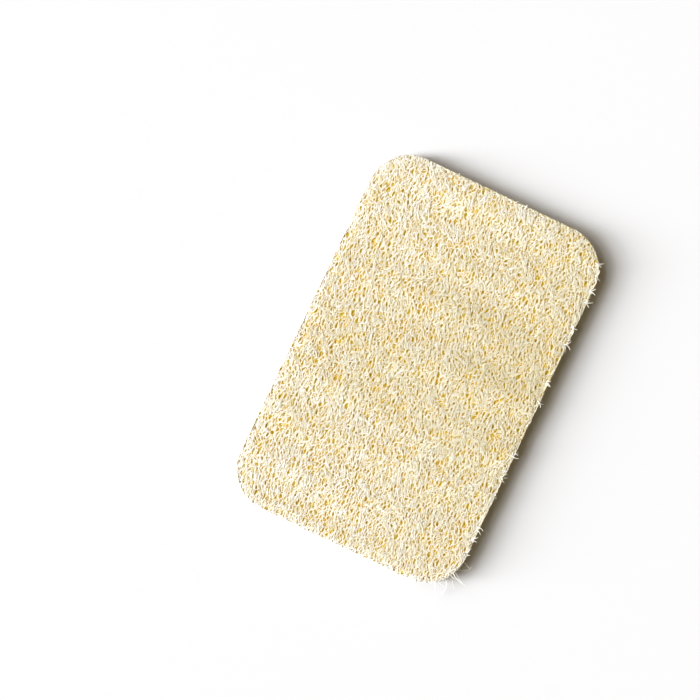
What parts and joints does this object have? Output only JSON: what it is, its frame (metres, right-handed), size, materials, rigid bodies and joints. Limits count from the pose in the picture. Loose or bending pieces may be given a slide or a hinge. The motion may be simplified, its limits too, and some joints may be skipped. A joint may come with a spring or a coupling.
{
  "type": "natural loofah sponge pad",
  "caption": "Flat natural loofah sponge pad: a pressed net of dried plant fibres, die-cut to a rounded rectangle, for scrubbing dishes or skin.",
  "frame": {"origin": "centre of the pad's footprint, on the surface it lies on", "axes": "+X along the pad's length and its main fibres, +Y across its width, +Z out of the outer face"},
  "size_m": [0.155, 0.1, 0.007],
  "materials": {
    "loofah_fibre": "matt dry cream plant fibre, golden in the holes of the net"
  },
  "bodies": {
    "root": {"loofah_pad": "loofah_fibre"}
  },
  "joints": []
}
